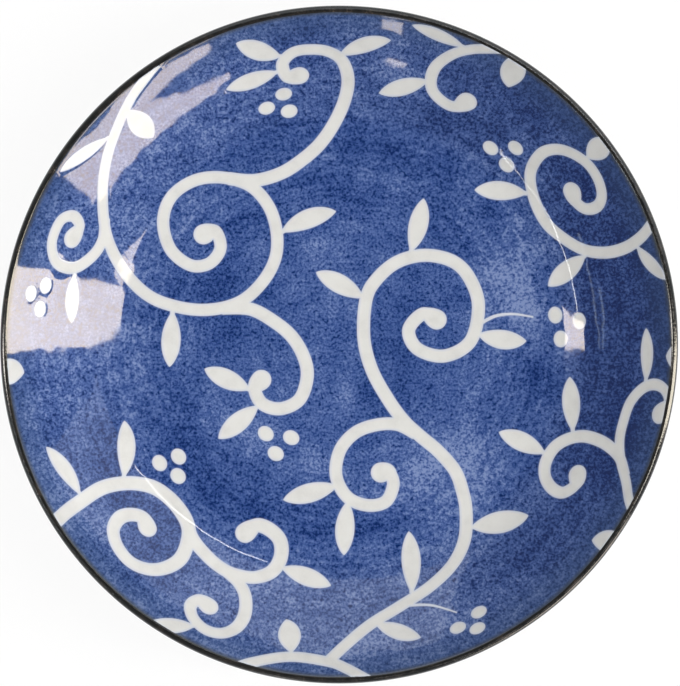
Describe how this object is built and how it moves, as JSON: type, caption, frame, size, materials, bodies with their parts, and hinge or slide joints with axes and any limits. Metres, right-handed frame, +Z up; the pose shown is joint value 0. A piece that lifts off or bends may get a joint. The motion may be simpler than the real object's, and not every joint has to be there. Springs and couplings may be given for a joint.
{
  "type": "dessert plate",
  "caption": "Shallow round ceramic dessert plate on a turned foot ring, with a blue glazed face, a dark iron rim and a raised white vine scroll.",
  "frame": {"origin": "centre of the foot ring, on the surface that the plate stands on", "axes": "+Z up along the turning axis, +Y towards the top of the picture and +X to its right"},
  "size_m": [0.165, 0.165, 0.03],
  "materials": {
    "porcelain": "bare fired clay, only the foot ring shows",
    "blue_glaze": "glossy brushed cobalt blue with dark speckle",
    "iron_glaze": "glossy iron brown, nearly black",
    "clear_glaze": "glossy clear glaze over white clay",
    "white_slip": "raised white slip under clear glaze"
  },
  "bodies": {
    "root": {"porcelain_body": "porcelain", "blue_face_glaze": "blue_glaze", "rim_glaze": "iron_glaze", "back_glaze": "clear_glaze", "foot_recess_glaze": "clear_glaze", "vine_upper_left": "white_slip", "vine_centre": "white_slip", "vine_top_right": "white_slip", "vine_right": "white_slip", "vine_lower_right": "white_slip", "vine_lower_left": "white_slip", "leaf_left": "white_slip", "leaf_top_right": "white_slip", "leaf_right": "white_slip", "leaf_lower_right": "white_slip", "berry_top_1": "white_slip", "berry_top_2": "white_slip", "berry_top_3": "white_slip", "berry_upper_right_1": "white_slip", "berry_upper_right_2": "white_slip", "berry_upper_right_3": "white_slip", "berry_right_1": "white_slip", "berry_right_2": "white_slip", "berry_right_3": "white_slip", "berry_middle_1": "white_slip", "berry_middle_2": "white_slip", "berry_middle_3": "white_slip", "berry_lower_left_1": "white_slip", "berry_lower_left_2": "white_slip", "berry_lower_left_3": "white_slip", "berry_bottom_1": "white_slip", "berry_bottom_2": "white_slip", "berry_bottom_3": "white_slip", "berry_left_1": "white_slip", "berry_left_2": "white_slip", "berry_left_3": "white_slip"}
  },
  "joints": []
}
